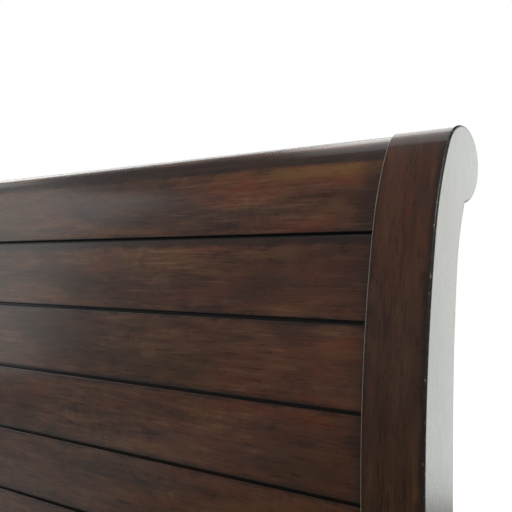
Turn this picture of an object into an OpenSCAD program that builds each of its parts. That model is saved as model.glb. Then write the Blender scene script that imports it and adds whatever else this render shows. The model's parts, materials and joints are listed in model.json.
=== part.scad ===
// Sleigh bed: planked headboard and footboard between scrolled posts, hooked side rails,
// a slatted deck on ledgers, and a centre beam on three legs with levelling feet.
// +Y points to the headboard, Z = 0 is the floor, the origin is under the middle of the bed.

/* [Mattress] */
// Width of the mattress
mattress_w = 1524; // [900:1:1930]
// Length of the mattress
mattress_l = 2032; // [1900:1:2450]
// Gap between the mattress and each side rail
side_gap = 10; // [5:1:20]
// Gap between the mattress and each end panel
end_gap = 9; // [5:1:20]

/* [Heights] */
// Top of the headboard's scroll above the floor
headboard_h = 1420; // [1180:1:1704]
// Top of the footboard's scroll above the floor
footboard_h = 800; // [740:1:1000]
// Top edge of the headboard's bottom rail above the ledgers
head_rail_rise = 110; // [60:0.5:150]
// Top edge of the footboard's bottom rail above the ledgers
foot_rail_rise = 40; // [36:0.5:60]

/* [Scroll posts] */
// Width of a post, across the bed
post_w = 83; // [66:1:100]
// Depth of a post at the floor
post_d = 80; // [66:1:96]
// Radius of the long sweep of a post's front
sweep_r = 1620; // [1350:10:1950]
// Angle that the long sweep turns through
sweep_a = 10.7; // [9:0.1:12.8]
// Radius of the tighter sweep below the scroll
neck_r = 370; // [310:1:445]
// Lean of the front where the scroll begins
neck_a = 28.3; // [24:0.1:34]
// Radius of the scroll
scroll_r = 48; // [40:0.5:58]
// Angle round the scroll at which the notch under it is reached
notch_a = 263; // [255:1:275]
// Radius of the long sweep of a post's back
back_r = 1720; // [1440:10:2060]
// Angle that the back's long sweep turns through
back_a = 6.5; // [5.4:0.1:7.8]
// How much higher the back starts its sweep than the front
back_rise = 60; // [50:1:72]

/* [Panels] */
// Depth of the panel's face behind the face of the posts
reveal = 7.5; // [6:0.5:9]
// Thickness of a plank
plank_t = 20; // [16:1:24]
// Open groove between two planks
plank_gap = 4.5; // [2:0.5:6]
// Joint of the crest rail above the end of the posts' long sweep
crest_rise = 1; // [0:0.5:6]
// How much wider the top plank is than the others
top_plank_more = 3; // [0:0.5:8]
// Depth that plank ends run into the posts
plank_in = 12; // [8:1:16]
// Thickness of a plank's tongue
tongue_t = 6; // [5:0.5:8]
// Reach of the tongue into the next plank
tongue_in = 6; // [4:0.5:8]
// Thickness of the crest rail below its scroll
crest_t = 38; // [32:1:46]
// Depth of the crest rail's scroll behind the scroll of the posts
crest_reveal = 5; // [2:0.5:9]
// Thickness of a bottom rail
bottom_rail_t = 32; // [28:1:40]
// Chamfer along the edges of planks and rails
arris = 1; // [0.5:0.5:1.5]

/* [Dowels and battens] */
// Radius of the dowels in the rails' ends
dowel_r = 5; // [4:0.5:6]
// Length of a dowel
dowel_l = 60; // [40:2:70]
// Width of a batten behind the planks
batten_w = 60; // [45:1:75]
// Thickness of a batten
batten_t = 18; // [15:1:22]
// Distance of the outer battens from the middle of the headboard
batten_x = 480; // [400:5:560]

/* [Side rails and ledgers] */
// Thickness of a side rail
rail_t = 26; // [22:1:32]
// Height of a side rail
rail_h = 180; // [150:1:210]
// Underside of a side rail above the floor
rail_bottom = 200; // [180:1:240]
// Width of a ledger, which carries the slat ends
ledger_w = 32; // [26:1:40]
// Height of a ledger
ledger_h = 40; // [32:1:48]
// Underside of a ledger above the underside of its rail
ledger_rise = 62; // [50:1:74]
// Gap between a ledger and each end of its rail
ledger_inset = 40; // [30:1:60]

/* [Bed hooks] */
// Height of the hook and receiver plates
plate_h = 140; // [138:1:150]
// Width of the plates
plate_w = 20; // [16:1:20]
// Thickness of the plates
plate_t = 3; // [2:0.5:4]
// Distance between the two hooks of a plate
hook_pitch = 76; // [66:1:78]
// Thickness of a hook
hook_t = 3; // [2.5:0.5:4]
// Reach of a hook behind its receiver plate
hook_reach = 12; // [10:1:15]
// Height of a hook's shank
hook_h = 15; // [12:1:16]
// How far a hook hangs down behind its receiver plate
hook_drop = 8; // [6.5:0.5:8.5]

/* [Slats and centre beam] */
// Width of a slat
slat_w = 80; // [60:1:100]
// Thickness of a slat
slat_t = 18; // [16:1:22]
// Distance from the end panels to the nearest slat
slat_end = 60; // [45:1:80]
// Width of the centre beam
beam_w = 38; // [30:1:45]
// Height of the centre beam
beam_h = 70; // [60:1:80]
// Width of a centre leg along the bed
leg_w = 45; // [38:1:54]
// Thickness of the two cheeks that fork round the beam
leg_cheek = 16; // [14:0.5:19]
// Distance between the legs along the bed
leg_pitch = 620; // [500:5:700]

/* [Levelling feet] */
// Radius of a foot's threaded stem
stem_r = 4; // [3:0.5:5]
// Radial clearance of the stem in its insert and its pad
stem_clear = 0.05; // [0.03:0.01:0.1]
// Length of the stem above its collar
stem_l = 55; // [45:1:65]
// Radius of the pad
pad_r = 19; // [15:0.5:22]
// Height of the pad
pad_h = 10; // [8:0.5:12]
// Gap between the stem's collar and the leg's insert at rest
foot_gap = 15; // [13:0.5:18]

/* [Fasteners] */
// Radius of the wood screws' shanks
screw_r = 2; // [1.5:0.25:2.5]
// Radius of the wood screws' heads
screw_head_r = 4; // [3.5:0.25:4.5]
// Radius of the leg bolts
bolt_r = 4; // [3:0.5:4]
// Clearance between pieces that meet in a joint
fit_gap = 0.2; // [0.1:0.05:0.4]

/* [Hidden] */
$fn = 48;

wood = [0.2, 0.11, 0.07];
deck_wood = [0.72, 0.57, 0.38];
dowel_wood = [0.8, 0.68, 0.5];
steel = [0.62, 0.63, 0.64];
plastic = [0.08, 0.08, 0.08];

head_planks = 8;
foot_planks = 3;
slats = 12;
legs = 3;
sides = [-1, 1];

// Steps along the arcs, in degrees
scroll_step = 4;
neck_step = 1.5;
sweep_step = 0.5;

// Floor glides under the posts
glide_r = 16;
glide_t = 5;
glide_stand = 2;
glide_pin_r = 2;
glide_pin_l = 20;

// Where things stand
rail_in_x = mattress_w / 2 + side_gap;
post_x = rail_in_x + rail_t / 2;
post_in_x = post_x - post_w / 2;
end_y = mattress_l / 2 + end_gap;
ledger_bottom = rail_bottom + ledger_rise;
ledger_top = ledger_bottom + ledger_h;
ledger_x = rail_in_x - ledger_w / 2;
plate_z = rail_bottom + rail_h / 2;
beam_bottom = ledger_top - beam_h;
head_rail_top = ledger_top + head_rail_rise;
foot_rail_top = ledger_top + foot_rail_rise;

// The headboard's and the footboard's own sizes, passed to what is shared:
// scroll height, joint above the bottom rail, underside of that rail, planks
bracket_grip = 32;
head = [headboard_h, head_rail_top, ledger_top - bracket_grip, head_planks];
foot = [footboard_h, foot_rail_top, rail_bottom, foot_planks];

// A point at angle a round a centre: 0 faces the mattress, 90 is the top
function polar(c, r, a) = c + r * [-cos(a), sin(a)];

// The points of an arc without its first
function arc(c, r, a0, a1, step) =
    let (n = ceil(abs(a1 - a0) / step))
    [for (i = [1:n]) polar(c, r, a0 + (a1 - a0) * i / n)];

// Centres of the three arcs of a post's front: long sweep, neck and scroll
sweep_rise = (sweep_r - neck_r) * sin(sweep_a) + (neck_r - scroll_r) * sin(neck_a) + scroll_r;
sweep_l = sweep_r * sweep_a * PI / 180;
function sweep_z(b) = b[0] - sweep_rise;
function sweep_c(b) = [sweep_r, sweep_z(b)];
function neck_c(b) = polar(sweep_c(b), sweep_r - neck_r, sweep_a);
function scroll_c(b) = polar(neck_c(b), neck_r - scroll_r, neck_a);

// Angle that an arc of length l and radius r turns through
function turned(l, r) = l / r * 180 / PI;

// Lean of the front at height s, measured along it, and the point d behind it
function lean(b, s) =
    let (up = s - sweep_z(b))
    up <= 0 ? 0 : up <= sweep_l ? turned(up, sweep_r) : sweep_a + turned(up - sweep_l, neck_r);
function face_pt(b, s, d) =
    let (up = s - sweep_z(b))
    up <= 0 ? [d, s]
        : up <= sweep_l ? polar(sweep_c(b), sweep_r - d, lean(b, s))
        : polar(neck_c(b), neck_r - d, lean(b, s));

// Heights between s0 and s1 at which a piece that follows the front has points
function stations(b, s0, s1) =
    let (
        z = sweep_z(b),
        from = max(s0, min(z, s1)),
        n = max(1, ceil((lean(b, s1) - lean(b, from)) / sweep_step))
    )
    concat(
        s0 < from ? [s0] : [],
        from < s1 ? [for (i = [0:n]) from + (s1 - from) * i / n] : [s1]
    );
function backwards(v) = [for (i = [len(v) - 1:-1:0]) v[i]];

// A band from depth d0 to d1 that follows the front from s0 up to s1
function band(b, s0, s1, d0, d1) =
    let (s = stations(b, s0, s1))
    concat([for (v = s) face_pt(b, v, d0)], [for (v = backwards(s)) face_pt(b, v, d1)]);

// Middle of the joints between the crest rail, the planks and the bottom rail
crest_edge = plank_gap / 2;
function crest_s(b) = sweep_z(b) + sweep_l + crest_rise;
function plank_pitch(b) = (crest_s(b) - top_plank_more - b[1]) / b[3];
function joint_s(b, i) = crest_s(b) - (i > 0 ? top_plank_more : 0) - i * plank_pitch(b);

// Outline of a post: up its front, round the scroll to the notch, down its back
function post_outline(b) =
    let (
        notch = polar(scroll_c(b), scroll_r, notch_a),
        back_c = [post_d + back_r, sweep_z(b) + back_rise],
        join = polar(back_c, back_r, back_a),
        inward = [cos(back_a), -sin(back_a)],
        chord = notch - join,
        turn_r = chord * chord / (2 * chord * inward),
        turn_c = join + turn_r * inward,
        turn_a = atan2((notch[1] - turn_c[1]) / turn_r, (turn_c[0] - notch[0]) / turn_r)
    )
    concat(
        [[0, glide_stand], [0, sweep_z(b)]],
        arc(sweep_c(b), sweep_r, 0, sweep_a, sweep_step),
        arc(neck_c(b), neck_r, sweep_a, neck_a, neck_step),
        arc(scroll_c(b), scroll_r, neck_a, notch_a, scroll_step),
        arc(turn_c, turn_r, turn_a, back_a, neck_step),
        arc(back_c, back_r, back_a, 0, sweep_step),
        [[post_d, glide_stand]]
    );

// Tongue on an upper edge and groove in a lower edge, from back to front or front to back
groove_play = 1;
tongue_d = reveal + plank_t / 2;
groove_half = tongue_t / 2 + fit_gap;
groove_in = tongue_in + groove_play;
function tongue_pts(b, s) = [
    face_pt(b, s, tongue_d - tongue_t / 2),
    face_pt(b, s + plank_gap + tongue_in, tongue_d - tongue_t / 2),
    face_pt(b, s + plank_gap + tongue_in, tongue_d + tongue_t / 2),
    face_pt(b, s, tongue_d + tongue_t / 2)
];
function groove_pts(b, s) = [
    face_pt(b, s, tongue_d + groove_half),
    face_pt(b, s + groove_in, tongue_d + groove_half),
    face_pt(b, s + groove_in, tongue_d - groove_half),
    face_pt(b, s, tongue_d - groove_half)
];

// Outline of a board of thickness t between s0 and s1, with softened corners
function board_outline(b, s0, s1, t, grooved) =
    let (d0 = reveal, d1 = reveal + t, s = stations(b, s0 + arris, s1 - arris))
    concat(
        [for (v = s) face_pt(b, v, d0)],
        [face_pt(b, s1, d0 + arris)],
        tongue_pts(b, s1),
        [face_pt(b, s1, d1 - arris)],
        [for (v = backwards(s)) face_pt(b, v, d1)],
        [face_pt(b, s0, d1 - arris)],
        grooved ? groove_pts(b, s0) : [],
        [face_pt(b, s0, d0 + arris)]
    );

// Outline of a crest rail: up its front on an arc that meets the planks' face below
// and the crest's scroll above, round the scroll, down its back
function crest_outline(b) =
    let (
        low_s = crest_s(b) + crest_edge,
        low = face_pt(b, low_s + arris, reveal),
        r = scroll_r - crest_reveal,
        up = [-cos(neck_a), sin(neck_a)],
        chord = scroll_c(b) - low,
        front_r = (chord * chord + 2 * r * (chord * up) + r * r) / (2 * (chord * up + r)),
        front_c = polar(scroll_c(b), r - front_r, neck_a),
        low_a = atan2(low[1] - front_c[1], front_c[0] - low[0]),
        back = reveal + crest_t,
        reach = neck_r - scroll_r,
        turn = acos((pow(neck_r - back, 2) - reach * reach - r * r) / (2 * reach * r)),
        meet = polar(scroll_c(b), r, neck_a - turn) - neck_c(b)
    )
    concat(
        [face_pt(b, low_s, reveal + arris), low],
        arc(front_c, front_r, low_a, neck_a, neck_step),
        arc(scroll_c(b), r, neck_a, neck_a + 360 - turn, scroll_step),
        arc(neck_c(b), neck_r - back, atan2(meet[1], -meet[0]), lean(b, low_s), neck_step),
        groove_pts(b, low_s)
    );

// Extrudes an outline in depth and height along X
module along_x(x0, x1) {
    translate([x0, 0, 0]) rotate([90, 0, 90]) linear_extrude(x1 - x0) children();
}

// A box between two corners
module block(low, high) {
    translate(low) cube(high - low);
}

// Stands an end of the bed in its place, facing the mattress
module at_head() {
    translate([0, end_y, 0]) children();
}
module at_foot() {
    mirror([0, 1, 0]) at_head() children();
}
module at_both_ends() {
    at_head() children();
    at_foot() children();
}

// Turns what points up towards +X or -X, or towards +Y or -Y
module towards_x(way) {
    rotate([0, 90 * way, 0]) children();
}
module towards_y(way) {
    rotate([-90 * way, 0, 0]) children();
}

// ---- Fasteners ----
close_fit = 0.05;
// How far a cut runs past the face that it opens through
over = 1;
// How far a screw's tip stays from the far face of what it grips
tip_cover = 8;
screw_cone = screw_head_r - screw_r;
module screw(l, grow = 0) {
    translate([0, 0, -l - grow]) cylinder(r = screw_r + grow, h = l + grow);
    translate([0, 0, -screw_cone])
        cylinder(r1 = screw_r + grow, r2 = screw_head_r + grow, h = screw_cone);
    if (grow > 0) cylinder(r = screw_head_r + grow, h = over);
}
module screw_hole(l) {
    screw(l, close_fit);
}
module dowel(grow = 0) {
    towards_x(1) translate([0, 0, -dowel_l / 2 - grow])
        cylinder(r = dowel_r + grow, h = dowel_l + 2 * grow);
}

// Two dowels hold each end of a crest rail and of a bottom rail to the post
dowel_edge = 38;
module dowels(b, grow = 0) {
    neck_mid = polar(neck_c(b), neck_r - reveal - crest_t / 2, (sweep_a + neck_a) / 2);
    rail_d = reveal + bottom_rail_t / 2;
    for (x = sides, at = [scroll_c(b), neck_mid, [rail_d, b[1] - dowel_edge], [rail_d, b[2] + dowel_edge]])
        translate([x * post_in_x, at[0], at[1]]) dowel(grow);
}
module headboard_dowels() color(dowel_wood) at_head() dowels(head);
module footboard_dowels() color(dowel_wood) at_foot() dowels(foot);

// ---- Bed hooks ----
hook_room = 3;
plate_screw_edge = 8;
plate_screw_z = plate_h / 2 - plate_screw_edge;
plate_screw_l = 28;
receiver_screw_l = 24;
slot_play = 1;
slot_w = hook_t + slot_play;
slot_rise = 2;
module plate_blank() {
    block([-plate_w / 2, -plate_t, -plate_h / 2], [plate_w / 2, 0, plate_h / 2]);
}
// A hook plate whose face is at Y = 0 and whose hooks reach along +Y
module hook_plate() {
    difference() {
        plate_blank();
        for (z = sides) translate([0, 0, z * plate_screw_z]) towards_y(1) screw_hole(plate_screw_l);
    }
    for (z = sides) translate([0, 0, z * hook_pitch / 2]) along_x(-hook_t / 2, hook_t / 2) polygon([
        [0, -hook_h / 2],
        [plate_t + fit_gap, -hook_h / 2],
        [plate_t + fit_gap, -hook_h / 2 - hook_drop],
        [plate_t + hook_reach, -hook_h / 2 - hook_drop],
        [plate_t + hook_reach, hook_h / 2],
        [0, hook_h / 2]
    ]);
}
// A receiver plate whose face is at Y = 0 and which lies behind it, towards +Y
module receiver_plate() {
    difference() {
        mirror([0, 1, 0]) plate_blank();
        for (z = sides) translate([0, 0, z * hook_pitch / 2])
            block([-slot_w / 2, -over, -hook_h / 2],
                  [slot_w / 2, plate_t + over, hook_h / 2 + hook_drop + slot_rise]);
        for (z = sides) translate([0, 0, z * plate_screw_z])
            towards_y(-1) screw_hole(receiver_screw_l);
    }
}
// The plate's recess, the mortise behind its hooks and its screw holes
module receiver_cut() {
    mortise_z = hook_pitch / 2 + hook_h / 2 + hook_drop + hook_room;
    mortise_x = hook_t / 2 + hook_room / 2;
    block([-plate_w / 2, -over, -plate_h / 2], [plate_w / 2, plate_t, plate_h / 2]);
    block([-mortise_x, 0, -mortise_z], [mortise_x, plate_t + hook_reach + hook_room, mortise_z]);
    for (z = sides) translate([0, 0, z * plate_screw_z]) towards_y(-1) screw_hole(receiver_screw_l);
}
// Repeats a piece at both ends of both rails
module at_rail_ends() {
    for (x = sides) translate([x * post_x, 0, plate_z]) at_both_ends() children();
}
module rail_hook_plates() color(steel) at_rail_ends() hook_plate();
module post_receiver_plates() color(steel) at_rail_ends() receiver_plate();

// ---- Posts ----
module glide(grow = 0) {
    cylinder(r = glide_r + grow, h = glide_t);
    translate([0, 0, glide_t]) cylinder(r = glide_pin_r + grow, h = glide_pin_l + grow);
}
module post(side, b) {
    panel_top = joint_s(b, 0) + crest_edge + tongue_in + fit_gap;
    panel_end = post_in_x + plank_in + fit_gap;
    color(wood) difference() {
        along_x(side * post_x - post_w / 2, side * post_x + post_w / 2) polygon(post_outline(b));
        along_x(min(side * panel_end, 0), max(side * panel_end, 0))
            polygon(band(b, b[1], panel_top, reveal - fit_gap, reveal + plank_t + fit_gap));
        dowels(b, close_fit);
        translate([side * post_x, 0, plate_z]) receiver_cut();
        translate([side * post_x, post_d / 2, 0]) glide(close_fit);
    }
}
module headboard_post_left() at_head() post(-1, head);
module headboard_post_right() at_head() post(1, head);
module footboard_post_left() at_foot() post(-1, foot);
module footboard_post_right() at_foot() post(1, foot);
module post_glides() color(plastic)
    for (x = sides) translate([x * post_x, 0, 0]) at_both_ends() translate([0, post_d / 2, 0]) glide();

// ---- Panels ----
batten_d0 = reveal + plank_t + fit_gap;
batten_screw_l = batten_t + plank_t - tip_cover;
module batten_screws_at(b, i, grow = 0) {
    s = (joint_s(b, i - 1) + joint_s(b, i)) / 2;
    at = face_pt(b, s, batten_d0 + batten_t);
    for (x = [-1, 0, 1]) translate([x * batten_x, at[0], at[1]]) rotate([-90 - lean(b, s), 0, 0])
        screw(batten_screw_l, grow);
}
module plank(b, i) {
    end_x = post_in_x + plank_in;
    along_x(-end_x, end_x) polygon(board_outline(
        b, joint_s(b, i) + plank_gap / 2, joint_s(b, i - 1) - plank_gap / 2, plank_t, true));
}
module headboard_plank(i) color(wood) at_head() difference() {
    plank(head, i);
    batten_screws_at(head, i, close_fit);
}
module footboard_plank(i) color(wood) at_foot() plank(foot, i);
module crest_rail(b) color(wood) difference() {
    along_x(-post_in_x, post_in_x) polygon(crest_outline(b));
    dowels(b, close_fit);
}
module bottom_rail(b) color(wood) difference() {
    along_x(-post_in_x, post_in_x)
        polygon(board_outline(b, b[2], b[1] - plank_gap / 2, bottom_rail_t, false));
    dowels(b, close_fit);
    translate([0, reveal, 0]) bracket_screws(close_fit);
}
module headboard_crest_rail() at_head() crest_rail(head);
module footboard_crest_rail() at_foot() crest_rail(foot);
module headboard_bottom_rail() at_head() bottom_rail(head);
module footboard_bottom_rail() at_foot() bottom_rail(foot);

module batten(x) color(wood) at_head() difference() {
    along_x(x - batten_w / 2, x + batten_w / 2) polygon(band(
        head, joint_s(head, head_planks) + plank_gap / 2, joint_s(head, 0) - plank_gap / 2,
        batten_d0, batten_d0 + batten_t));
    for (i = [1:head_planks]) batten_screws_at(head, i, close_fit);
}
module batten_screws() color(steel) at_head() for (i = [1:head_planks]) batten_screws_at(head, i);

// ---- Side rails, ledgers and slats ----
ledger_screw_l = ledger_w + rail_t - tip_cover;
slat_screw_bite = 24;
slat_screw_l = slat_t + slat_screw_bite;
slat_play = 2;
slat_l = 2 * (rail_in_x - slat_play);
slat_far_y = end_y - slat_end - slat_w / 2;
slat_pitch = 2 * slat_far_y / (slats - 1);
function slat_y(i) = -slat_far_y + (i - 1) * slat_pitch;

module ledger_screws_at(side, grow = 0) {
    for (i = [1:2:slats - 1])
        translate([side * (rail_in_x - ledger_w), slat_y(i) + slat_pitch / 2, ledger_bottom + ledger_h / 2])
            towards_x(-side) screw(ledger_screw_l, grow);
}
module slat_screws_at(i, grow = 0) {
    for (x = sides) translate([x * ledger_x, slat_y(i), ledger_top + slat_t])
        screw(slat_screw_l, grow);
}
module side_rail(side) color(wood) difference() {
    translate([side * post_x, 0, 0])
        block([-rail_t / 2, -end_y, rail_bottom], [rail_t / 2, end_y, rail_bottom + rail_h]);
    translate([side * post_x, 0, plate_z]) at_both_ends() {
        block([-plate_w / 2, -plate_t, -plate_h / 2], [plate_w / 2, over, plate_h / 2]);
        for (z = sides) translate([0, 0, z * plate_screw_z]) towards_y(1) screw_hole(plate_screw_l);
    }
    ledger_screws_at(side, close_fit);
}
module slat_ledger(side) color(deck_wood) difference() {
    translate([side * ledger_x, 0, 0])
        block([-ledger_w / 2, ledger_inset - end_y, ledger_bottom],
              [ledger_w / 2, end_y - ledger_inset, ledger_top]);
    ledger_screws_at(side, close_fit);
    for (i = [1:slats]) slat_screws_at(i, close_fit);
}
module slat(i) color(deck_wood) difference() {
    translate([0, slat_y(i), ledger_top])
        block([-slat_l / 2, -slat_w / 2, 0], [slat_l / 2, slat_w / 2, slat_t]);
    slat_screws_at(i, close_fit);
}
module side_rail_left() side_rail(-1);
module side_rail_right() side_rail(1);
module slat_ledger_left() slat_ledger(-1);
module slat_ledger_right() slat_ledger(1);
module ledger_screws() color(steel) for (side = sides) ledger_screws_at(side);
module slat_screws() color(steel) for (i = [1:slats]) slat_screws_at(i);

// ---- Centre beam, its brackets and its legs ----
bracket_t = 2.5;
bracket_in = 45;
bracket_wing = 22;
bracket_top = 45;
bracket_screw_x = beam_w / 2 + bracket_t + bracket_wing / 2;
bracket_screw_z = [-12, 28];
bracket_screw_l = 24;
module bracket_screws(grow = 0) {
    for (x = sides, z = bracket_screw_z)
        translate([x * bracket_screw_x, -bracket_t, ledger_top + z])
            towards_y(-1) screw(bracket_screw_l, grow);
}
// A stirrup whose back lies on the bottom rail, at Y = 0
module bracket() {
    out_x = beam_w / 2 + fit_gap + bracket_t;
    low = beam_bottom - fit_gap - bracket_t;
    difference() {
        union() {
            block([-out_x - bracket_wing, -bracket_t, low],
                  [out_x + bracket_wing, 0, ledger_top + bracket_top]);
            block([-out_x, -bracket_in, low], [out_x, 0, ledger_top - 2 * bracket_t]);
        }
        block([-out_x + bracket_t, -bracket_in - over, low + bracket_t],
              [out_x - bracket_t, -bracket_t, ledger_top]);
        bracket_screws(close_fit);
    }
}
module beam_brackets() color(steel) at_both_ends() translate([0, reveal, 0]) bracket();
module plate_screws() color(steel) {
    at_rail_ends() for (z = sides) translate([0, 0, z * plate_screw_z]) {
        towards_y(1) screw(plate_screw_l);
        towards_y(-1) screw(receiver_screw_l);
    }
    at_both_ends() translate([0, reveal, 0]) bracket_screws();
}

bolt_rise = [18, 52];
bolt_head_r = 7.5;
bolt_head_t = 5.5;
bolt_end = 3;
leg_half_x = beam_w / 2 + leg_cheek;
fork_drop = 8;
fork_top = ledger_top - fork_drop;
function leg_y(i) = (i - (legs + 1) / 2) * leg_pitch;
beam_end_gap = 1;
module bolt_shank(grow = 0) {
    towards_x(1) translate([0, 0, -leg_half_x - grow])
        cylinder(r = bolt_r + grow, h = 2 * leg_half_x + bolt_head_t + bolt_end + 2 * grow);
}
module at_bolts(i) {
    for (z = bolt_rise) translate([0, leg_y(i), beam_bottom + z]) children();
}
module leg_bolts() color(steel) for (i = [1:legs]) at_bolts(i) {
    union() {
        bolt_shank();
        towards_x(-1) translate([0, 0, leg_half_x])
            cylinder(r = bolt_head_r, h = bolt_head_t, $fn = 6);
    }
    difference() {
        towards_x(1) translate([0, 0, leg_half_x])
            cylinder(r = bolt_head_r, h = bolt_head_t, $fn = 6);
        bolt_shank(close_fit);
    }
}
module centre_beam() color(deck_wood) difference() {
    end = end_y + reveal - bracket_t - beam_end_gap;
    block([-beam_w / 2, -end, beam_bottom], [beam_w / 2, end, ledger_top]);
    for (i = [1:legs]) at_bolts(i) bolt_shank(close_fit);
}

// The stack from the floor up: pad, collar, gap, insert flange, leg
pad_socket = 6;
pad_edge = 1;
pad_rim = 3.3;
collar_r = 7.5;
collar_h = 8;
collar_gap = 0.3;
collar_z = pad_h + collar_gap;
insert_r = 6;
insert_flange_r = 11;
insert_flange_t = 2;
insert_l = 20;
insert_z = collar_z + collar_h + foot_gap;
leg_low = insert_z + insert_flange_t;
stem_top = collar_z + collar_h + stem_l;
stem_room = 18;
stem_hole_r = stem_r + 0.5;
module centre_leg(i) color(deck_wood) difference() {
    translate([0, leg_y(i), 0])
        block([-leg_half_x, -leg_w / 2, leg_low], [leg_half_x, leg_w / 2, fork_top]);
    translate([0, leg_y(i), 0])
        block([-beam_w / 2 - fit_gap, -leg_w, beam_bottom], [beam_w / 2 + fit_gap, leg_w, fork_top + over]);
    at_bolts(i) bolt_shank(close_fit);
    translate([0, leg_y(i), leg_low - over]) {
        cylinder(r = insert_r + close_fit, h = over + insert_l);
        cylinder(r = stem_hole_r, h = over + stem_top + stem_room - leg_low);
    }
}
module leg_inserts() color(steel) for (i = [1:legs]) translate([0, leg_y(i), insert_z]) difference() {
    union() {
        cylinder(r = insert_flange_r, h = insert_flange_t);
        cylinder(r = insert_r, h = insert_flange_t + insert_l);
    }
    translate([0, 0, -over])
        cylinder(r = stem_r + stem_clear, h = insert_flange_t + insert_l + 2 * over);
}
module foot_stem(i) color(steel) translate([0, leg_y(i), 0]) {
    translate([0, 0, pad_h - pad_socket]) cylinder(r = stem_r, h = stem_top - pad_h + pad_socket);
    translate([0, 0, collar_z]) cylinder(r = collar_r, h = collar_h, $fn = 6);
}
module foot_pad(i) color(plastic) translate([0, leg_y(i), 0]) difference() {
    rotate_extrude() polygon([
        [0, 0], [pad_r - pad_edge, 0], [pad_r, pad_edge], [pad_r, pad_rim],
        [collar_r + pad_edge, pad_h], [0, pad_h]
    ]);
    translate([0, 0, pad_h - pad_socket - close_fit])
        cylinder(r = stem_r + stem_clear, h = pad_socket + over);
}

headboard_post_left();
headboard_post_right();
headboard_crest_rail();
for (i = [1:head_planks])
    headboard_plank(i);
headboard_bottom_rail();
batten(-batten_x);  // headboard_batten_left
batten(0);  // headboard_batten_centre
batten(batten_x);  // headboard_batten_right
headboard_dowels();
footboard_post_left();
footboard_post_right();
footboard_crest_rail();
for (i = [1:foot_planks])
    footboard_plank(i);
footboard_bottom_rail();
footboard_dowels();
side_rail_left();
side_rail_right();
slat_ledger_left();
slat_ledger_right();
rail_hook_plates();
post_receiver_plates();
for (i = [1:slats]) slat(i);
centre_beam();
beam_brackets();
for (i = [1:legs]) centre_leg(i);
leg_inserts();
for (i = [1:legs]) foot_stem(i);
for (i = [1:legs]) foot_pad(i);
post_glides();
batten_screws();
ledger_screws();
slat_screws();
plate_screws();
leg_bolts();
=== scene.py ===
import json
import math
import bmesh
import bpy
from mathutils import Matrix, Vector, noise


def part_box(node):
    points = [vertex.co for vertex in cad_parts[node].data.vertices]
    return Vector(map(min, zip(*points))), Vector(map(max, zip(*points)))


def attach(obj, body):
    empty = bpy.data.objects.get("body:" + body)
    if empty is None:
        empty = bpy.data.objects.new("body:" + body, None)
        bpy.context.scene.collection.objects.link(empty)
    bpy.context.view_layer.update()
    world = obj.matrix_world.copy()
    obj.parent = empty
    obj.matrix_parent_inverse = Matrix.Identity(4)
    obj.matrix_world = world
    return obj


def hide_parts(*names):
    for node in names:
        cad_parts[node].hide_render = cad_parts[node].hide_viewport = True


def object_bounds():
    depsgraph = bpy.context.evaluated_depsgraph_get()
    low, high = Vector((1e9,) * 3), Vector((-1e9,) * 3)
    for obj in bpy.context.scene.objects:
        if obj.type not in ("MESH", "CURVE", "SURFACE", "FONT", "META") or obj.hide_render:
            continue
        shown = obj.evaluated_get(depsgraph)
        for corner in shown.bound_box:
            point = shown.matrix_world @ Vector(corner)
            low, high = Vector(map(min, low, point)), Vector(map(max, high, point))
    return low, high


# looks of the sleigh bed: its boards and their finishes, the hardware, the studio and the camera
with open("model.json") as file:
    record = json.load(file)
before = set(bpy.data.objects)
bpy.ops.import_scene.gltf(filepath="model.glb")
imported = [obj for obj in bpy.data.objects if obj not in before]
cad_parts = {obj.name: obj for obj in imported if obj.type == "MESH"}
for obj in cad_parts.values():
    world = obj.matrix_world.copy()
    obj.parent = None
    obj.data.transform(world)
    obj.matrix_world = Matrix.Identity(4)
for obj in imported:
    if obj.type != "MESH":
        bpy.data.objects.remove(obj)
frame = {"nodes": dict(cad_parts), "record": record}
cadBox = [list(corner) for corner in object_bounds()]
print("frame loaded,", len(frame["nodes"]), "nodes")

nodes = frame["nodes"]
bodyOf = {name: body for body, names in frame["record"]["behaviour"]["bodies"].items() for name in names}
slotOf = {part["node"]: part["material_slot"] for part in frame["record"]["subparts"]}
mm = 0.001

# what a face's jointShade says of it; joints and outer arrises get painted shadow, inner arrises a painted
# highlight
faceCode = {"plain": 0.0, "outerArris": 0.5, "joint": 1.0, "innerArris": -1.0}

# the first seed of each kind of piece, which sets where in the timber a piece is cut from
firstSeed = {"boards": 1, "scrolled": 101, "hardware": 201}


class Wire:
    # one output socket, which sums, differences and products can be written with
    def __init__(self, finish, socket):
        self.finish, self.socket = finish, socket

    def maths(self, operation, *values):
        return self.finish.wire("Math", {"operation": operation}, dict(enumerate(values)))

    def __add__(self, other):
        return self.maths("ADD", self, other)

    def __sub__(self, other):
        return self.maths("SUBTRACT", self, other)

    def __mul__(self, other):
        return self.maths("MULTIPLY", self, other)

    def __radd__(self, other):
        return self.maths("ADD", other, self)

    def __rsub__(self, other):
        return self.maths("SUBTRACT", other, self)

    def __rmul__(self, other):
        return self.maths("MULTIPLY", other, self)

    def size(self):
        return self.maths("ABSOLUTE", self)

    def root(self):
        return self.maths("SQRT", self)

    def wave(self):
        return self.maths("SINE", self)

    def fade(self, start, end):
        # 0 at start and 1 at end, smooth between them
        return self.finish.wire("MapRange", {"interpolation_type": "SMOOTHSTEP"}, {0: self, 1: start, 2: end})


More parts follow.
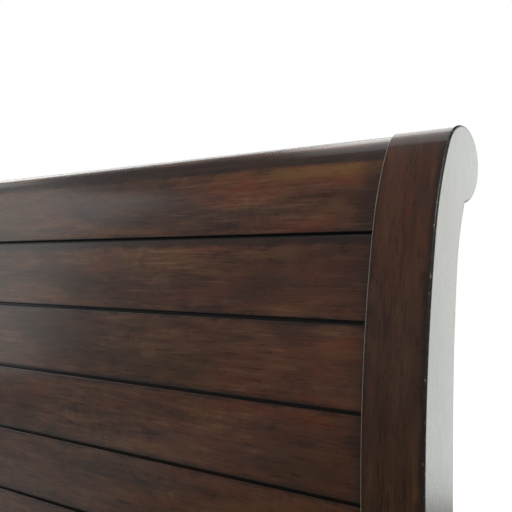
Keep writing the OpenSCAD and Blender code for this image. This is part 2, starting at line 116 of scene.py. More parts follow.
class Finish:
    # the nodes of a material, or of the world, under construction
    def __init__(self, owner):
        owner.use_nodes = True
        self.owner, self.tree = owner, owner.node_tree
        self.tree.nodes.clear()

    def add(self, kind, settings, inputs):
        node = self.tree.nodes.new("ShaderNode" + kind)
        for setting, value in settings.items():
            setattr(node, setting, value)
        for key, value in inputs.items():
            if isinstance(value, Wire):
                self.tree.links.new(value.socket, node.inputs[key])
            else:
                node.inputs[key].default_value = value
        return node

    def wire(self, kind, settings, inputs, output=0):
        return Wire(self, self.add(kind, settings, inputs).outputs[output])

    def attribute(self, name, output="Vector"):
        return self.wire("Attribute", {"attribute_name": name}, {}, output)

    def objectPlace(self):
        return self.wire("TexCoord", {}, {}, "Object")

    def parts(self, vector):
        return [Wire(self, output) for output in self.add("SeparateXYZ", {}, {0: vector}).outputs]

    def stretched(self, place, cells):
        # place in cells of a pattern: so many per metre each way
        return self.wire("VectorMath", {"operation": "MULTIPLY"}, {0: place, 1: cells})

    def clouds(self, place, cells, detail=2, rough=0.5, bend=0, shift=None):
        # soft noise around 0.5, from another part of the timber where it is given a shift
        if shift:
            place = self.wire("VectorMath", {"operation": "ADD"}, {0: place, 1: shift})
        return self.wire("TexNoise", {}, {"Vector": self.stretched(place, cells), "Scale": 1,
                                          "Detail": detail, "Roughness": rough, "Distortion": bend})

    def cellular(self, place, cells, output):
        return self.wire("TexVoronoi", {}, {"Vector": self.stretched(place, cells), "Scale": 1}, output)

    def blend(self, share, first, second):
        return self.wire("Mix", {"data_type": "RGBA"}, {0: share, 6: first, 7: second}, 2)

    def bump(self, height, distance, strength=1, normal=None):
        inputs = {"Height": height, "Distance": distance, "Strength": strength}
        if normal:
            inputs["Normal"] = normal
        return self.wire("Bump", {}, inputs)

    def surface(self, **inputs):
        named = {key.replace("_", " "): value for key, value in inputs.items()}
        self.add("OutputMaterial", {}, {"Surface": self.wire("BsdfPrincipled", {}, named)})
        return self.owner


def tint(red, green, blue):
    # a colour as it is seen on a screen, 0 to 255, as the light that it stands for
    steps = [channel / 255 for channel in (red, green, blue)]
    return [step / 12.92 if step <= 0.04045 else ((step + 0.055) / 1.055) ** 2.4 for step in steps] + [1.0]


espresso = {
    "deep": tint(50, 32, 24),
    "middle": tint(84, 56, 41),
    "light": tint(116, 84, 60),
    "golden": tint(118, 84, 36),
    "russet": tint(110, 52, 33),
    # plum: random drift patches, and the dark bands at the tops and ends, which are stain and painted shade
    "plum": tint(36, 27, 26),
    # painted shadow in the joints and painted dark reflection on the outer arrises
    "joint": tint(13, 11, 9),
    # a painted highlight line along the posts' inner arrises
    "paintedHighlight": tint(172, 165, 150),
    # light chips on the outer arrises, partly wear and partly painted glints
    "chipAndGlint": tint(178, 152, 120),
    "patterns": {  # cells per metre along, across and into the board, and the noise's own settings
        "drift": {"cells": (3, 9, 9), "detail": 3, "rough": 0.55, "bend": 0.6},
        "bands": {"cells": (5, 55, 55), "detail": 3, "rough": 0.6, "bend": 0.8},
        "blotches": {"cells": (20, 48, 48), "detail": 3, "rough": 0.55, "bend": 1.2},
        "curlMask": {"cells": (7, 14, 14), "shift": (5.1, 2.3, 0.7)},
        "curl": {"cells": (170, 34, 34), "bend": 0.9},
        "streaks": {"cells": (22, 420, 420), "detail": 3, "rough": 0.62},
        "flecks": {"cells": (120, 330, 330)},
        "pores": {"cells": (70, 900, 900), "detail": 1, "rough": 0.4},
        "golden": {"cells": (5, 13, 13), "detail": 3, "bend": 0.7, "shift": (1.7, 8.2, 3.3)},
        "russet": {"cells": (7, 30, 30), "detail": 3, "rough": 0.55, "bend": 0.9, "shift": (9.4, 1.2, 6.1)},
        "rubsAndGlints": {"cells": (150, 400, 400), "detail": 3, "rough": 0.7, "shift": (3.0, 0.4, 7.7)},
    },
    "tone": {"bands": 1.3, "blotches": 0.6, "streaks": 0.9, "curl": 0.6},  # what makes the wood light or dark
    "fades": {  # where each colour starts and is full, on the noise or the tone
        "curl": (0.46, 0.64),
        "flecks": (0.6, 0.72),
        "pores": (0.60, 0.70),
        "middle": (0.12, 0.56),
        "light": (0.5, 0.95),
        "golden": (0.5, 0.74),
        "russet": (0.50, 0.74),
        "endRusset": (0.3, 0.62),
        "plum": (0.54, 0.36),
        "streaks": (0.56, 0.72),
        "rubsAndGlints": (0.60, 0.66),
        "arris": (0.3, 0.1),
    },
    "distances": {  # the same in metres, from the middle, the top, an end or a long side
        "nearEnd": (0.30, 0.74),
        "goldenTop": (0.031, 0.040),
        "goldenFoot": (0.060, 0.048),
        "russetTop": (0.046, 0.056),
        "russetFoot": (0.088, 0.070),
        "end": (0.040, 0.012),
        "side": (0.008, 0.003),
    },
    "shares": {  # how much of the colour is laid on
        "golden": 0.18,
        "russet": 0.32,
        "endRusset": 0.32,
        "crestRusset": 0.5,
        "plum": 0.55,
        "streaks": 0.3,
        "flecks": 0.08,
        "pores": 0.16,
        "band": 0.8,
        "end": 0.5,
        "side": 0.6,
        "joint": 0.92,
        "paintedHighlight": 0.6,
        "chipAndGlint": 0.8,
    },
    "ragged": 12 * mm,  # how unevenly the stain ends
    "bandBlur": 4 * mm,
    "gloss": 0.28,
    "glossOf": {"blotches": 0.08, "streaks": 0.05, "pores": 0.06, "chipsAndGlints": 0.2, "joint": 0.3},
    "coat": 0.3,
    "coatGloss": 0.14,
    "grain": {"streaks": 0.5, "curl": 0.3, "pores": 0.35, "height": 0.12 * mm, "strength": 0.16},
    "soft": {"blotches": 0.5, "height": 0.6 * mm, "strength": 0.10},
}


def espressoFinish():
    fades, shares, distances = espresso["fades"], espresso["shares"], espresso["distances"]
    tones, glossOf, grain, soft = espresso["tone"], espresso["glossOf"], espresso["grain"], espresso["soft"]
    wood = Finish(bpy.data.materials.new("espressoWood"))
    place = wood.attribute("grainPlace")
    noises = {name: wood.clouds(place, **pattern) for name, pattern in espresso["patterns"].items()}
    blotches, streaks, curl = noises["blotches"], noises["streaks"], noises["curl"]
    flecks, pores = noises["flecks"].fade(*fades["flecks"]), noises["pores"].fade(*fades["pores"])
    alongRim, acrossRim = wood.parts(wood.attribute("rimPlace"))[:2]
    alongHalf, acrossHalf = wood.parts(wood.attribute("rimHalf"))[:2]
    bandDepth, paintedShade, glow = wood.parts(wood.attribute("stainShadeSheen"))
    joint = wood.attribute("jointShade", "Fac")
    endGap = alongHalf - alongRim.size()
    topGap = acrossHalf - acrossRim
    sideGap = acrossHalf - acrossRim.size()

    # from dark to light wood
    curled = noises["curlMask"].fade(*fades["curl"]) * (curl - 0.5)
    tone = (noises["bands"] - 0.5) * tones["bands"] + (blotches - 0.5) * tones["blotches"]
    tone = tone + (streaks - 0.5) * tones["streaks"] + curled * tones["curl"] + 0.5
    colour = wood.blend(tone.fade(*fades["middle"]), espresso["deep"], espresso["middle"])
    colour = wood.blend(tone.fade(*fades["light"]), colour, espresso["light"])

    # golden and russet clouds, stronger towards the ends of a crest rail, where they are partly the wood's
    # figure and partly painted sheen
    nearEnd = alongRim.size().fade(*distances["nearEnd"])
    crestGold = glow * nearEnd * topGap.fade(*distances["goldenTop"]) * topGap.fade(*distances["goldenFoot"])
    goldness = noises["golden"].fade(*fades["golden"]) * shares["golden"] + crestGold * noises["golden"]
    colour = wood.blend(goldness, colour, espresso["golden"])
    crestRed = glow * nearEnd * topGap.fade(*distances["russetTop"]) * topGap.fade(*distances["russetFoot"])
    redness = noises["russet"].fade(*fades["russet"]) * shares["russet"]
    redness = redness + nearEnd * noises["russet"].fade(*fades["endRusset"]) * shares["endRusset"]
    redness = redness + crestRed * noises["russet"] * shares["crestRusset"]
    colour = wood.blend(redness, colour, espresso["russet"])

    colour = wood.blend(noises["drift"].fade(*fades["plum"]) * shares["plum"], colour, espresso["plum"])
    colour = wood.blend(streaks.fade(*fades["streaks"]) * shares["streaks"], colour, espresso["light"])
    colour = wood.blend(flecks * shares["flecks"], colour, espresso["deep"])
    colour = wood.blend(pores * shares["pores"], colour, espresso["deep"])

    # darker along the upper arris and at the ends, stain and painted shadow together, and stain along the
    # long sides
    ragged = (blotches - 0.5) * espresso["ragged"]
    band = (topGap + ragged).fade(bandDepth + espresso["bandBlur"], bandDepth - espresso["bandBlur"])
    end = (endGap + ragged).fade(*distances["end"])
    side = (sideGap + ragged * 0.5).fade(*distances["side"])
    colour = wood.blend(band * shares["band"], colour, espresso["plum"])
    colour = wood.blend(end * shares["end"], colour, espresso["plum"])
    colour = wood.blend(side * shares["side"], colour, espresso["plum"])
    # painted shade: the whole piece darker, on the posts
    colour = wood.blend(paintedShade, colour, espresso["deep"])

    # painted shadow makes the joints near black, and a painted dark reflection makes the outer arrises near
    # black; a painted highlight lightens the inner arrises, and the light chips on the outer ones are partly
    # wear and partly painted glints
    black = joint.fade(faceCode["plain"], faceCode["outerArris"])
    paintedHighlight = joint.fade(faceCode["plain"], faceCode["innerArris"])
    onArris = (joint - faceCode["outerArris"]).size().fade(*fades["arris"])
    # light chips on the outer arrises: partly wear, partly painted glints
    chipsAndGlints = onArris * noises["rubsAndGlints"].fade(*fades["rubsAndGlints"])
    colour = wood.blend(black * shares["joint"], colour, espresso["joint"])
    colour = wood.blend(paintedHighlight * shares["paintedHighlight"], colour, espresso["paintedHighlight"])
    colour = wood.blend(chipsAndGlints * shares["chipAndGlint"], colour, espresso["chipAndGlint"])

    gloss = espresso["gloss"] + (blotches - 0.5) * glossOf["blotches"] + (streaks - 0.5) * glossOf["streaks"]
    gloss = gloss + pores * glossOf["pores"] + chipsAndGlints * glossOf["chipsAndGlints"] + black * glossOf["joint"]
    fine = streaks * grain["streaks"] + curl * grain["curl"] + (1 - pores) * grain["pores"]
    fine = wood.bump(fine, grain["height"], grain["strength"])
    broad = wood.bump(noises["bands"] + blotches * soft["blotches"], soft["height"], soft["strength"], fine)
    return wood.surface(Base_Color=colour, Roughness=gloss, Normal=broad,
                        Coat_Weight=espresso["coat"], Coat_Roughness=espresso["coatGloss"])


pine = {
    "early": tint(222, 192, 148),
    "late": tint(188, 142, 92),
    "heart": tint(206, 160, 112),
    "knot": tint(112, 66, 36),
    "patterns": {
        "wander": {"cells": (1.6, 5, 5)},
        "fibre": {"cells": (14, 600, 600), "detail": 3, "rough": 0.6},
        "flame": {"cells": (2.5, 12, 12)},
    },
    "knotCells": (2.2, 9, 9),
    "heartDepth": 60 * mm,  # how deep under the boards the middle of the trunk is
    "ringWander": 35 * mm,
    "ringRate": 1500,
    "fades": {"late": (0.35, 1), "heart": (0.45, 0.7), "fibre": (0.35, 0.85), "knot": (0.11, 0.06)},
    "shares": {"late": 0.75, "heart": 0.5, "fibre": 0.16, "knot": 0.85},
    "knotRagged": 0.03,  # how much the fibre frays a knot's rim
    "gloss": 0.58,
    "glossOf": {"fibre": 0.2, "late": -0.08},
    "grain": {"fibre": 0.6, "late": 0.4, "height": 0.2 * mm, "strength": 0.5},
}


def pineFinish():
    fades, shares, grain = pine["fades"], pine["shares"], pine["grain"]
    wood = Finish(bpy.data.materials.new("planedPine"))
    place = wood.attribute("grainPlace")
    wander, fibre, flame = [wood.clouds(place, **pattern) for pattern in pine["patterns"].values()]
    across, depth = wood.parts(place)[1:]
    # growth rings: one trunk of gently wandering rings that the boards are cut from
    below = depth + pine["heartDepth"]
    reach = (across * across + below * below).root()
    rings = ((reach + wander * pine["ringWander"]) * pine["ringRate"]).wave()
    late = (rings * 0.5 + 0.5).fade(*fades["late"])
    knots = wood.cellular(place, pine["knotCells"], "Distance") + (fibre - 0.5) * pine["knotRagged"]
    colour = wood.blend(late * shares["late"], pine["early"], pine["late"])
    colour = wood.blend(flame.fade(*fades["heart"]) * shares["heart"], colour, pine["heart"])
    colour = wood.blend(fibre.fade(*fades["fibre"]) * shares["fibre"], colour, pine["late"])
    colour = wood.blend(knots.fade(*fades["knot"]) * shares["knot"], colour, pine["knot"])
    gloss = pine["gloss"] + (fibre - 0.5) * pine["glossOf"]["fibre"] + late * pine["glossOf"]["late"]
    relief = wood.bump(fibre * grain["fibre"] + late * grain["late"], grain["height"], grain["strength"])
    return wood.surface(Base_Color=colour, Roughness=gloss, Normal=relief)


beech = {
    "pale": tint(226, 196, 156),
    "fleck": tint(178, 130, 88),
    "patterns": {
        "fibre": {"cells": (30, 900, 900), "detail": 3, "rough": 0.6},
        "flecks": {"cells": (260, 1500, 1500), "detail": 1, "rough": 0.4},
    },
    "fleckFade": (0.58, 0.7),
    "shares": {"fibre": 0.4, "flecks": 0.5},
    "gloss": 0.55,
    "fibreGloss": 0.15,
    "relief": 0.12 * mm,
    "reliefStrength": 0.4,
}


def beechFinish():
    wood = Finish(bpy.data.materials.new("beechDowel"))
    place = wood.attribute("grainPlace")
    fibre, flecks = [wood.clouds(place, **pattern) for pattern in beech["patterns"].values()]
    dark = fibre * beech["shares"]["fibre"] + flecks.fade(*beech["fleckFade"]) * beech["shares"]["flecks"]
    return wood.surface(Base_Color=wood.blend(dark, beech["pale"], beech["fleck"]),
                        Roughness=beech["gloss"] + (fibre - 0.5) * beech["fibreGloss"],
                        Normal=wood.bump(fibre, beech["relief"], beech["reliefStrength"]))


zinc = {
    "bright": tint(196, 198, 200),
    "dull": tint(142, 146, 152),
    "stain": tint(168, 158, 130),
    "spangleCells": (160, 160, 160),
    "patterns": {
        "haze": {"cells": (45, 45, 45), "detail": 3, "rough": 0.6},
        "drawn": {"cells": (1500, 60, 60)},
    },
    "shares": {"crystal": 0.4, "haze": 0.5, "stain": 0.3},
    "stainFade": (0.56, 0.78),
    "gloss": 0.32,
    "glossOf": {"crystal": 0.1, "haze": 0.25},
    "crystalRelief": 0.3,
    "relief": 0.05 * mm,
    "reliefStrength": 0.4,
}


def zincFinish():
    shares, glossOf = zinc["shares"], zinc["glossOf"]
    steel = Finish(bpy.data.materials.new("zincSteel"))
    place = steel.objectPlace()
    crystal = steel.parts(steel.cellular(place, zinc["spangleCells"], "Color"))[0]
    haze, drawn = [steel.clouds(place, **pattern) for pattern in zinc["patterns"].values()]
    colour = steel.blend(crystal * shares["crystal"] + haze * shares["haze"], zinc["bright"], zinc["dull"])
    colour = steel.blend(haze.fade(*zinc["stainFade"]) * shares["stain"], colour, zinc["stain"])
    gloss = zinc["gloss"] + crystal * glossOf["crystal"] + (haze - 0.5) * glossOf["haze"]
    wear = steel.bump(drawn + crystal * zinc["crystalRelief"], zinc["relief"], zinc["reliefStrength"])
    return steel.surface(Base_Color=colour, Metallic=1, Roughness=gloss, Normal=wear)


nylon = {
    "black": tint(34, 34, 35),
    "dust": tint(78, 75, 70),
    "patterns": {
        "pebble": {"cells": (1400, 1400, 1400)},
        "dust": {"cells": (90, 90, 90), "detail": 4, "rough": 0.6},
    },
    "dustFade": (0.52, 0.75),
    "dustShare": 0.5,
    "gloss": 0.5,
    "dustGloss": 0.3,
    "relief": 0.06 * mm,
    "reliefStrength": 0.5,
}


def nylonFinish():
    plastic = Finish(bpy.data.materials.new("blackNylon"))
    place = plastic.objectPlace()
    pebble, dust = [plastic.clouds(place, **pattern) for pattern in nylon["patterns"].values()]
    dusty = dust.fade(*nylon["dustFade"]) * nylon["dustShare"]
    return plastic.surface(Base_Color=plastic.blend(dusty, nylon["black"], nylon["dust"]),
                           Roughness=nylon["gloss"] + (dust - 0.5) * nylon["dustGloss"],
                           Normal=plastic.bump(pebble, nylon["relief"], nylon["reliefStrength"]))


finishes = {
    "dark_wood": espressoFinish(),
    "deck_wood": pineFinish(),
    "dowel_wood": beechFinish(),
    "steel": zincFinish(),
    "plastic": nylonFinish(),
}
print("finishes made,", len(finishes))


joinery = {
    "merge": 0.01 * mm,  # how close together two corners are one
    "flat": 0.2,  # degrees between faces that are one flat face
    "sharp": 25,  # degrees from which an edge of a board gets softened
    "fittedSharp": 40,  # and an edge of the hardware
    "smooth": 40,  # degrees up to which an edge is shaded smooth
    "onEnd": 0.01 * mm,  # how close to a piece's end a corner on it lies
    "square": 0.01,  # how far off square to its neighbour a side face may be
}


def nodeShape(name):
    # the node's shape as a designer drew it: joined up, with its flat faces whole
    shape = bmesh.new()
    shape.from_mesh(nodes[name].data)
    bmesh.ops.remove_doubles(shape, verts=shape.verts, dist=joinery["merge"])
    bmesh.ops.dissolve_limit(shape, angle_limit=math.radians(joinery["flat"]), verts=shape.verts,
                             edges=shape.edges)
    return shape


def corners(shape):
    low = Vector([min(vert.co[axis] for vert in shape.verts) for axis in range(3)])
    high = Vector([max(vert.co[axis] for vert in shape.verts) for axis in range(3)])
    return low, high


def softenEdges(shape, radius, wanted, rings=3, sharp=joinery["sharp"]):
    picked = [edge for edge in shape.edges
              if len(edge.link_faces) == 2 and edge.calc_face_angle(0) > math.radians(sharp) and wanted(edge)]
    bmesh.ops.bevel(shape, geom=picked, offset=radius, offset_type="OFFSET", segments=rings, profile=0.5,
                    affect="EDGES", material=-1, clamp_overlap=True)


def outlineRun(outline):
    # a function that says how far along the closed outline the nearest point to (y, z) lies
    legs, total = [], 0.0
    for start, end in zip(outline, outline[1:] + outline[:1]):
        legs.append((start, end - start, total))
        total += (end - start).length
    found = {}

    def run(y, z):
        key = (round(y, 5), round(z, 5))
        if key not in found:
            point, tries = Vector((y, z)), []
            for start, step, before in legs:
                share = min(1, max(0, (point - start).dot(step) / step.length_squared))
                tries.append(((point - start - share * step).length, before + share * step.length))
            found[key] = min(tries)[1]
        return found[key]
    return run


marking = {
    "cutReach": 7.0,  # how far apart in the timber two boards can be cut from
    "cutStep": 0.37,  # and how far apart two that follow each other are at least shifted
    "cutPlaces": (3.7, 5.3, 0.5),  # where the noise is read for a seed, for an axis, and its level
    "side": 0.9,  # how squarely a face has to look sideways to be a side
    "jointLength": 0.2,  # a face shorter than this along the board isn't a joint
    "jointDown": -0.3,  # how far down, or up, the faces of a joint look
    "jointUp": 0.9,
    "tongueShare": 0.95,  # how much of a tongue counts as joint and gets the painted shadow
    "arris": (0.1, 0.97),  # how far sideways the faces of a rounded arris look
    "arrisBack": 0.2,  # an inner arris that looks further back than this gets no painted highlight
}

grainOrder = {"x": (0, 2, 1), "y": (1, 2, 0), "z": (2, 0, 1)}  # axes along, across and into the board


def spread(face):
    # the face's length along the board
    return max(vert.co.x for vert in face.verts) - min(vert.co.x for vert in face.verts)


def codeOf(face, jointed, tongueFrom, outer):
    # what the face is: part of a joint, of a post's outer or inner arris, or plain, which sets the painted
    # shadow or highlight on it
    sideways, (least, most) = face.normal.x * outer, marking["arris"]
    if outer and -most < sideways < -least and face.normal.y < marking["arrisBack"]:
        return faceCode["innerArris"]
    if outer and least < sideways < most:
        return faceCode["outerArris"]
    if face.calc_center_median().z > tongueFrom:
        return faceCode["joint"]
    looksOut = face.normal.z < marking["jointDown"] or face.normal.z > marking["jointUp"]
    return faceCode["joint" if jointed and looksOut and spread(face) > marking["jointLength"] else "plain"]


# stain: the dark band's depth, stain and painted shade; painted shade over the whole piece; painted sheen
# near a crest rail's ends
def markGrain(shape, grain, seed, run=None, jointed=False, stain=(8 * mm, 0, 0), outer=0, tongue=0):
    # writes on each face corner where it lies in the board: along the grain, across it and in depth
    low, high = corners(shape)
    middle, half = (low + high) / 2, (high - low) / 2
    order = grainOrder[grain]
    seedStep, wayStep, level = marking["cutPlaces"]
    offset = Vector([marking["cutReach"] * noise.noise((seed * seedStep, way * wayStep, level))
                     + seed * marking["cutStep"] for way in range(3)])
    vectors, floats = shape.loops.layers.float_vector, shape.loops.layers.float
    place, rim, rimHalf = [vectors.new(name) for name in ("grainPlace", "rimPlace", "rimHalf")]
    paintedShade = floats.new("jointShade")
    look = vectors.new("stainShadeSheen")
    halves = Vector([half[axis] for axis in order])
    tongueFrom = high.z - marking["tongueShare"] * tongue if tongue else math.inf
    for face in shape.faces:
        wrapped = run and abs(face.normal.x) < marking["side"]
        code = codeOf(face, jointed, tongueFrom, outer)
        # an edge's distance counts only on the faces that run up to it, so not along the face's own normal
        facing = [abs(face.normal[axis]) for axis in order]
        gaps = halves + Vector([1.0 if way == max(facing) else 0.0 for way in facing])
        for loop in face.loops:
            spot = loop.vert.co
            local = Vector([spot[axis] - middle[axis] for axis in order])
            loop[rim], loop[rimHalf], loop[paintedShade], loop[look] = local, gaps, code, stain
            if wrapped and grain == "z":
                local = Vector((run(spot.y, spot.z), local.y, 0))
            elif wrapped:
                local = Vector((local.x, run(spot.y, spot.z), 0))
            loop[place] = local + offset


def finishPiece(shape, name, replaced):
    mesh = bpy.data.meshes.new(name)
    bmesh.ops.recalc_face_normals(shape, faces=shape.faces)
    shape.to_mesh(mesh)
    shape.free()
    mesh.materials.append(finishes[slotOf[replaced]])
    mesh.shade_smooth()
    mesh.set_sharp_from_angle(angle=math.radians(joinery["smooth"]))
    piece = bpy.data.objects.new(name, mesh)
    bpy.context.scene.collection.objects.link(piece)
    shading = piece.modifiers.new("evenShading", "WEIGHTED_NORMAL")
    shading.keep_sharp = True
    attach(piece, bodyOf[replaced])
    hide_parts(replaced)


# grain: the axis along the board; edge: how far its edges are rounded; tongue: how far a joint's tongue
# or groove reaches; outside: all its outside edges are rounded, and otherwise only the long ones
panelBoard = {"grain": "x", "edge": 0.9 * mm, "tongue": 10.5 * mm}
batten = {"grain": "z", "edge": 1.5 * mm}
sideRail = {"grain": "y", "edge": 2.5 * mm, "outside": True}
ledger = {"grain": "y", "edge": 1.5 * mm, "outside": True}
boards = {
    "headboard_plank": {"count": 8, **panelBoard},
    "headboard_bottom_rail": panelBoard,
    "headboard_batten_left": batten,
    "headboard_batten_centre": batten,
    "headboard_batten_right": batten,
    "footboard_plank": {"count": 3, **panelBoard},
    "footboard_bottom_rail": panelBoard,
    "side_rail_left": sideRail,
    "side_rail_right": sideRail,
    "slat_ledger_left": ledger,
    "slat_ledger_right": ledger,
    "slat": {"count": 12, "grain": "x", "edge": 2.5 * mm, "outside": True},
    "centre_beam": {"grain": "y", "edge": 2 * mm, "outside": True},
    "centre_leg": {"count": 3, "grain": "z", "edge": 1.5 * mm, "outside": True},
}

boardCuts = {
    "reach": 0.02 * mm,  # how close to the outside of a board an outside edge lies
    "longEdge": 40 * mm,
    "plainBand": 8 * mm,  # the dark band at the top of a board without a tongue, stain and painted shade
    "band": 1.25,  # the dark band below a joint, stain and painted shadow, in tongues
    "topBand": 2,  # and on the top plank
}


def onEnvelope(low, high):
    # picks the edges that lie on the outside of the board, and not those of its holes
    def wanted(edge):
        faces = 0
        for face in edge.link_faces:
            axis = max(range(3), key=lambda way: abs(face.normal[way]))
            outer = high[axis] if face.normal[axis] > 0 else low[axis]
            faces += all(abs(vert.co[axis] - outer) < boardCuts["reach"] for vert in edge.verts)
        return faces == 2
    return wanted


def makeBoard(name, seed, board):
    shape = nodeShape(name)
    if board.get("outside"):
        softenEdges(shape, board["edge"], onEnvelope(*corners(shape)))
    else:
        softenEdges(shape, board["edge"], lambda side: side.calc_length() > boardCuts["longEdge"], 2)
    tongue = board.get("tongue", 0)
    band = tongue * boardCuts["topBand" if name.endswith("plank_1") else "band"] or boardCuts["plainBand"]
    markGrain(shape, board["grain"], seed, jointed=tongue > 0, stain=(band, 0, 0), tongue=tongue)
    finishPiece(shape, name + "_board", name)


seed = firstSeed["boards"]
for kind, board in boards.items():
    for name in [f"{kind}_{i + 1}" for i in range(board["count"])] if "count" in board else [kind]:
        makeBoard(name, seed, board)
        seed += 1
print("boards made,", seed - firstSeed["boards"])


# stain: the depth of the dark band at the top, which is stain and painted shade; painted shade that darkens
# the whole piece; how golden near its ends, partly the wood's figure and partly painted sheen
post = {"grain": "z", "outerEdge": 3 * mm, "innerEdge": 1.5 * mm, "stain": (8 * mm, 0.42, 0)}
crest = {"grain": "x", "outerEdge": 0.5 * mm, "innerEdge": 0.5 * mm, "stain": (33 * mm, 0, 1)}
scrolled = {
    "headboard_post_left": post,
    "headboard_post_right": post,
    "footboard_post_left": post,
    "footboard_post_right": post,
    "headboard_crest_rail": crest,
    "footboard_crest_rail": crest,
}


def sideOutline(shape, name):
    # the outline of the side face that has no holes, in (y, z) from its lowest front corner round
    low, high = corners(shape)
    outer = low.x if name.endswith("left") else high.x

    def onRim(edge):
        # between the flat side face and a face square to it
        least, most = sorted(abs(face.normal.x) for face in edge.link_faces)
        return (all(abs(vert.co.x - outer) < joinery["onEnd"] for vert in edge.verts)
                and least < joinery["square"] and most > 1 - joinery["square"])

    follow = {}
    for edge in shape.edges:
        if len(edge.link_faces) == 2 and onRim(edge):
            for vert in edge.verts:
                follow.setdefault(vert, []).append(edge)
    rings, used = [], set()
    for first in sorted(follow, key=lambda vert: (round(vert.co.z, 5), round(vert.co.y, 5))):
        ring, vert = [], first
        while vert and vert not in used:
            used.add(vert)
            ring.append(Vector((vert.co.y, vert.co.z)))
            others = [edge.other_vert(vert) for edge in follow[vert]]
            vert = next((other for other in others if other not in used), None)
        rings.append(ring)
    return max(rings, key=lambda ring: sum((b - a).length for a, b in zip(ring, ring[1:])))


def makeScrolled(name, seed, look):
    shape = nodeShape(name)
    outline = sideOutline(shape, name)
    onOutline = {(round(point.x, 4), round(point.y, 4)) for point in outline}
    # the way a post's outer side faces; a crest rail has none
    outer = 0 if look["grain"] == "x" else -1 if name.endswith("left") else 1
    ends = [corner.x for corner in corners(shape)]
    for way, end in zip((-1, 1), ends):
        softenEdges(shape, look["outerEdge" if way == outer else "innerEdge"], lambda side: all(
            (round(vert.co.y, 4), round(vert.co.z, 4)) in onOutline
            and abs(vert.co.x - end) < joinery["onEnd"] for vert in side.verts))
    markGrain(shape, look["grain"], seed, outlineRun(outline), not outer, look["stain"], outer)
    finishPiece(shape, name + "_board", name)


for seed, (name, look) in enumerate(scrolled.items(), firstSeed["scrolled"]):
    makeScrolled(name, seed, look)
print("scrolled pieces made,", len(scrolled))


# how far the edges of each kind of hardware are rounded
hardware = {
    "post_glides": 0.8 * mm,
    "foot_pad_1": 0.8 * mm,
    "foot_pad_2": 0.8 * mm,
    "foot_pad_3": 0.8 * mm,
    "rail_hook_plates": 0.5 * mm,
    "post_receiver_plates": 0.4 * mm,
    "beam_brackets": 0.6 * mm,
    "leg_inserts": 0.3 * mm,
    "leg_bolts": 0.5 * mm,
    "foot_stem_1": 0.4 * mm,
    "foot_stem_2": 0.4 * mm,
    "foot_stem_3": 0.4 * mm,
    "batten_screws": 0.2 * mm,
    "ledger_screws": 0.2 * mm,
    "slat_screws": 0.2 * mm,
    "plate_screws": 0.2 * mm,
    "headboard_dowels": 1.0 * mm,
    "footboard_dowels": 1.0 * mm,
}

for seed, (name, edge) in enumerate(hardware.items(), firstSeed["hardware"]):
    shape = nodeShape(name)
    softenEdges(shape, edge, lambda side: True, 2, joinery["fittedSharp"])
    markGrain(shape, "x", seed)
    finishPiece(shape, name + "_fitted", name)
print("hardware made,", len(hardware))


studio = {
    "floorReach": 14.0,
    "floorGrey": (0.8, 0.8, 0.8, 1),
    "glowNear": 0.25,  # the paper's own light under the bed, and from where to where it rises to 1
    "glowRise": (1.2, 3.7),
    "white": (1, 1, 1, 1),
    "roomColour": (0.97, 0.99, 1.0, 1),
    "roomLight": 0.16,
    "exposure": 0.0,
}

panels = {
    # centre, aim, width, height, spread in degrees, watts, colour
    "sideGlare": ((2.1, 3.5, 1.39), (0.83, 1.06, 1.25), 2.2, 2.55, 180, 60, (0.93, 1.0, 0.965)),
    "leftWindow": ((-4.0, -1.1, 2.4), (0.0, 1.0, 1.6), 1.6, 3.6, 180, 18, (0.96, 1.0, 1.0)),
    "key": ((1.4, -0.3, 2.6), (0.35, 1.05, 1.75), 1.2, 1.2, 72, 6.4, (1.0, 0.98, 0.95)),
    "backTop": ((-1.6, 3.5, 2.55), (-0.3, 1.1, 1.4), 4.4, 1.8, 180, 76, (0.98, 1.0, 0.98)),
    "backdrop": ((-2.6, 3.7, 0.9), (-1.6, 1.1, 0.9), 4.6, 1.7, 180, 60, (1.0, 1.0, 1.0)),
    "ceiling": ((-0.45, 2.9, 3.4), (-0.45, 2.9, 1.4), 1.1, 2.0, 180, 18, (0.98, 1.0, 0.98)),
    "overhead": ((0.4, 1.2, 2.6), (0.4, 1.2, 1.4), 1.2, 1.1, 180, 4.2, (0.98, 1.0, 0.98)),
    "leftTop": ((-3.8, 1.0, 3.4), (0.0, 1.05, 1.4), 1.3, 1.3, 180, 5, (0.98, 1.0, 1.0)),
}

for name, (centre, aim, width, height, spreadAngle, watts, colour) in panels.items():
    light = bpy.data.lights.new(name, "AREA")
    light.spread = math.radians(spreadAngle)
    light.shape, light.size, light.size_y = "RECTANGLE", width, height
    light.energy, light.color = watts, colour
    lamp = bpy.data.objects.new(name, light)
    lamp.location = centre
    lamp.rotation_euler = (Vector(aim) - Vector(centre)).to_track_quat("-Z", "Y").to_euler()
    lamp.visible_camera = False
    bpy.context.scene.collection.objects.link(lamp)


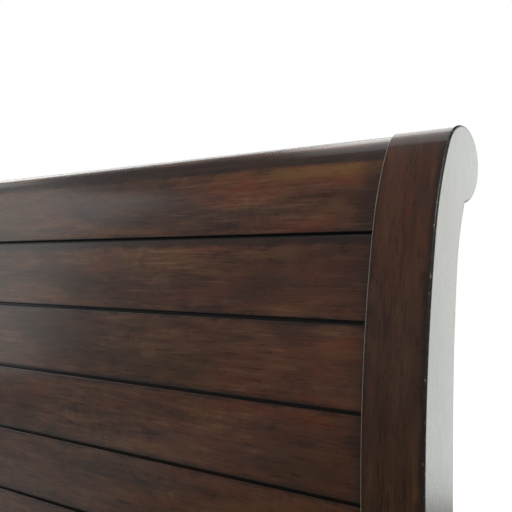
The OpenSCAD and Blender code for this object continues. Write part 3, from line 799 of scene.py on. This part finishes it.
def makeFloor():
    shape = bmesh.new()
    bmesh.ops.create_grid(shape, x_segments=8, y_segments=8, size=studio["floorReach"])
    bmesh.ops.translate(shape, vec=(0, 0, min(0.0, cadBox[0][2])), verts=shape.verts)
    mesh = bpy.data.meshes.new("floor")
    shape.to_mesh(mesh)
    shape.free()
    # plain white paper that turns into light away from the bed
    paper = Finish(bpy.data.materials.new("paperFloor"))
    reach = paper.wire("VectorMath", {"operation": "LENGTH"}, {0: paper.objectPlace()}, "Value")
    glow = reach.fade(*studio["glowRise"]) * (1 - studio["glowNear"]) + studio["glowNear"]
    seen = paper.wire("LightPath", {}, {}, "Is Camera Ray")
    pale = paper.wire("BsdfDiffuse", {}, {"Color": studio["floorGrey"]})
    light = paper.wire("Emission", {}, {"Color": glow * seen, "Strength": 1})
    paper.add("OutputMaterial", {}, {"Surface": paper.wire("AddShader", {}, {0: pale, 1: light})})
    mesh.materials.append(paper.owner)
    floor = bpy.data.objects.new("floor", mesh)
    bpy.context.scene.collection.objects.link(floor)


def makeWorld():
    # white where it is seen, and a dim even light on the bed
    world = bpy.data.worlds.new("whiteStudio")
    bpy.context.scene.world = world
    sky = Finish(world)
    seen = sky.wire("LightPath", {}, {}, "Is Camera Ray")
    room = sky.wire("Background", {}, {"Color": studio["roomColour"], "Strength": studio["roomLight"]})
    white = sky.wire("Background", {}, {"Color": studio["white"], "Strength": 1})
    sky.add("OutputWorld", {}, {"Surface": sky.wire("MixShader", {}, {0: seen, 1: room, 2: white})})


makeFloor()
makeWorld()
bpy.context.scene.view_settings.view_transform = "Standard"
bpy.context.scene.view_settings.look = "None"
bpy.context.scene.view_settings.exposure = studio["exposure"]
print("studio made")


# level, beside the mattress and turned towards the headboard's right-hand corner
shot = {
    "outFromPost": 0.3812,
    "backFromPost": 0.7932,
    "belowTop": 0.1696,
    "turn": 38.0,
    "lens": 54.04,
    "sensor": 36,
    "shift": (-0.001, 0.0136),
    "clip": (0.05, 60),
}

postLow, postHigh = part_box("headboard_post_right")
camera = bpy.data.objects.new("camera", bpy.data.cameras.new("camera"))
camera.data.sensor_width, camera.data.lens = shot["sensor"], shot["lens"]
camera.data.shift_x, camera.data.shift_y = shot["shift"]
camera.data.clip_start, camera.data.clip_end = shot["clip"]
camera.location = (postHigh.x + shot["outFromPost"], postLow.y - shot["backFromPost"],
                   postHigh.z - shot["belowTop"])
camera.rotation_euler = (math.radians(90), 0, math.radians(shot["turn"]))
bpy.context.scene.collection.objects.link(camera)
bpy.context.scene.camera = camera
print("camera placed at", [round(value, 4) for value in camera.location])
